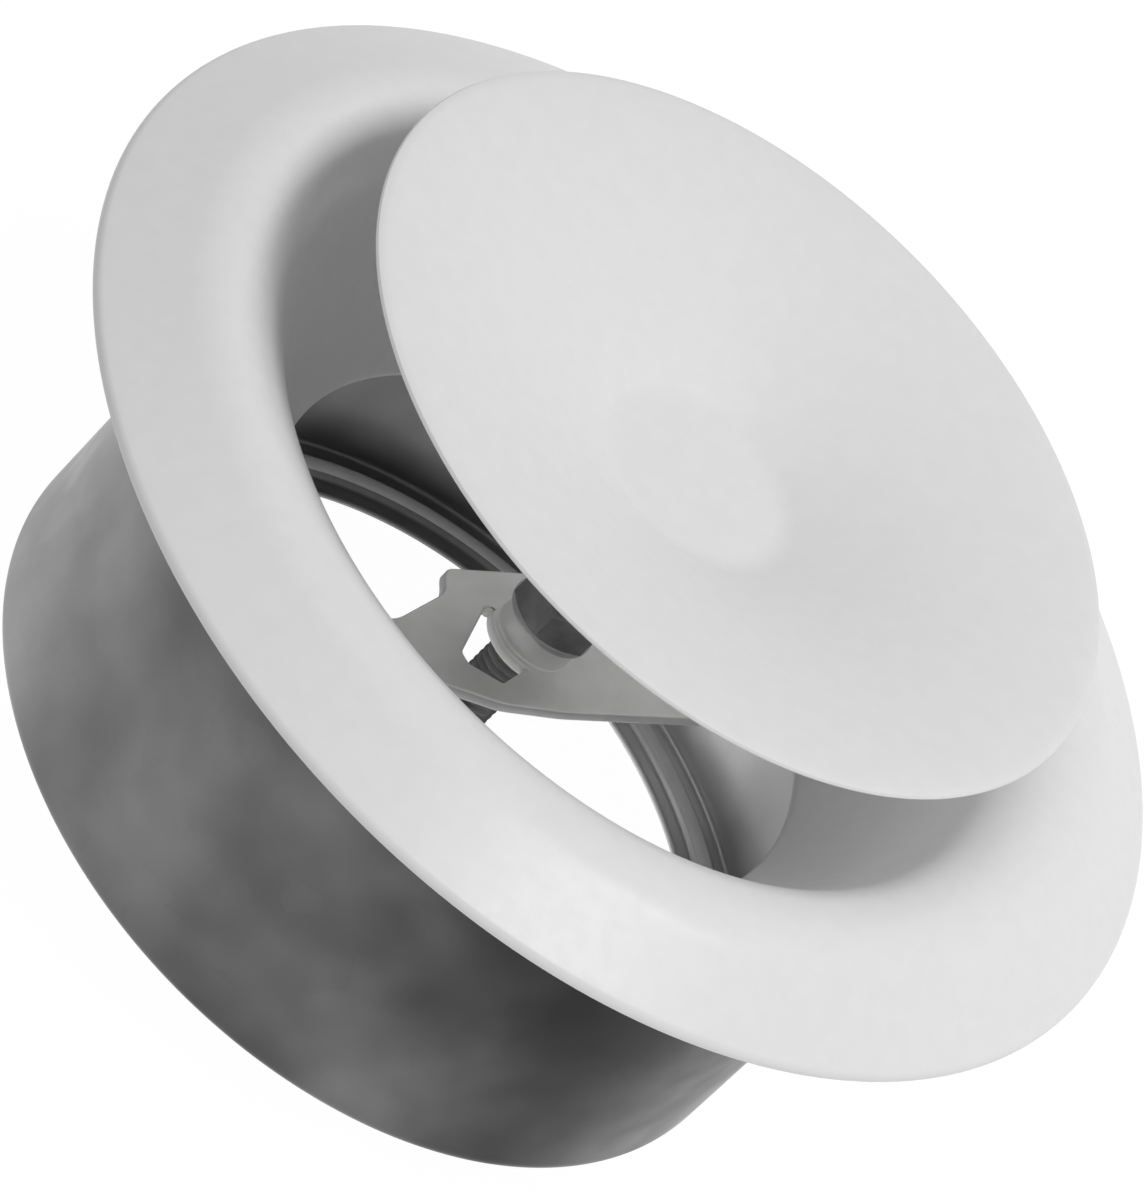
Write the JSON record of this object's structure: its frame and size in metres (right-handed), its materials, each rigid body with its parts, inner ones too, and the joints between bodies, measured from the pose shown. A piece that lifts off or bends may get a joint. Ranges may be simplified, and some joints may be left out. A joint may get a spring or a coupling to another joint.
{
  "type": "disc valve",
  "caption": "Round ceiling air disc valve: white dished disc on a threaded spindle, turned in a bell-mouthed ring, in a galvanised mounting collar",
  "frame": {"origin": "on the valve's axis, in the plane of the collar's rear rim", "axes": "+Z runs along the axis out of the face, +X to the right as the picture is seen with the valve's axis upright"},
  "size_m": [0.137, 0.137, 0.0692],
  "materials": {
    "galvanised": "hot-dip galvanised sheet, softly mottled",
    "white_coat": "white powder coat, semi-matt",
    "white_coat_disc": "white powder coat, semi-matt",
    "foam": "closed-cell foam",
    "plated": "zinc plated",
    "dark_thread": "dark thread, dull",
    "bridge_sheet": "plated sheet, matt",
    "rivet_metal": "plain",
    "spring_steel": "bright spring strip"
  },
  "bodies": {
    "collar": {"mounting_collar": "galvanised"},
    "insert": {"valve_ring": "white_coat", "flange_gasket": "foam", "bridge": "bridge_sheet", "bridge_rivet_far_left": "rivet_metal", "bridge_rivet_far_right": "rivet_metal", "bridge_rivet_near": "rivet_metal", "clip_left": "spring_steel", "clip_right": "spring_steel", "clip_far": "spring_steel", "clip_rivet_left": "rivet_metal", "clip_rivet_right": "rivet_metal", "clip_rivet_far": "rivet_metal"},
    "stop": {"end_stop": "dark_thread"},
    "disc": {"valve_disc": "white_coat_disc", "disc_hub": "plated", "spindle": "dark_thread"},
    "washer": {"lock_washer": "plated"},
    "nut": {"lock_nut": "dark_thread"}
  },
  "joints": [
    {"name": "insert_pull", "type": "slide", "parent": "collar", "child": "insert", "axis": [0, 0, 1], "range_m": [0, 0.06]},
    {"name": "disc_travel", "type": "slide", "parent": "insert", "child": "stop", "axis": [0, 0, 1], "range_m": [-0.016, 0.016]},
    {"name": "disc_turn", "type": "hinge", "parent": "stop", "child": "disc", "pos_m": [0, 0, 0.03], "axis": [0, 0, 1], "range_deg": [-5770, 5770]},
    {"name": "washer_lift", "type": "slide", "parent": "insert", "child": "washer", "axis": [0, 0, 1], "range_m": [0, 0.0015]},
    {"name": "nut_turn", "type": "hinge", "parent": "washer", "child": "nut", "pos_m": [0, 0, 0.033], "axis": [0, 0, 1], "range_deg": [0, 545]}
  ],
  "couplings": [
    {"joint": "disc_turn", "follows": "disc_travel", "rad_per_m": 6283.2},
    {"joint": "nut_turn", "follows": "washer_lift", "rad_per_m": 6283.2}
  ]
}
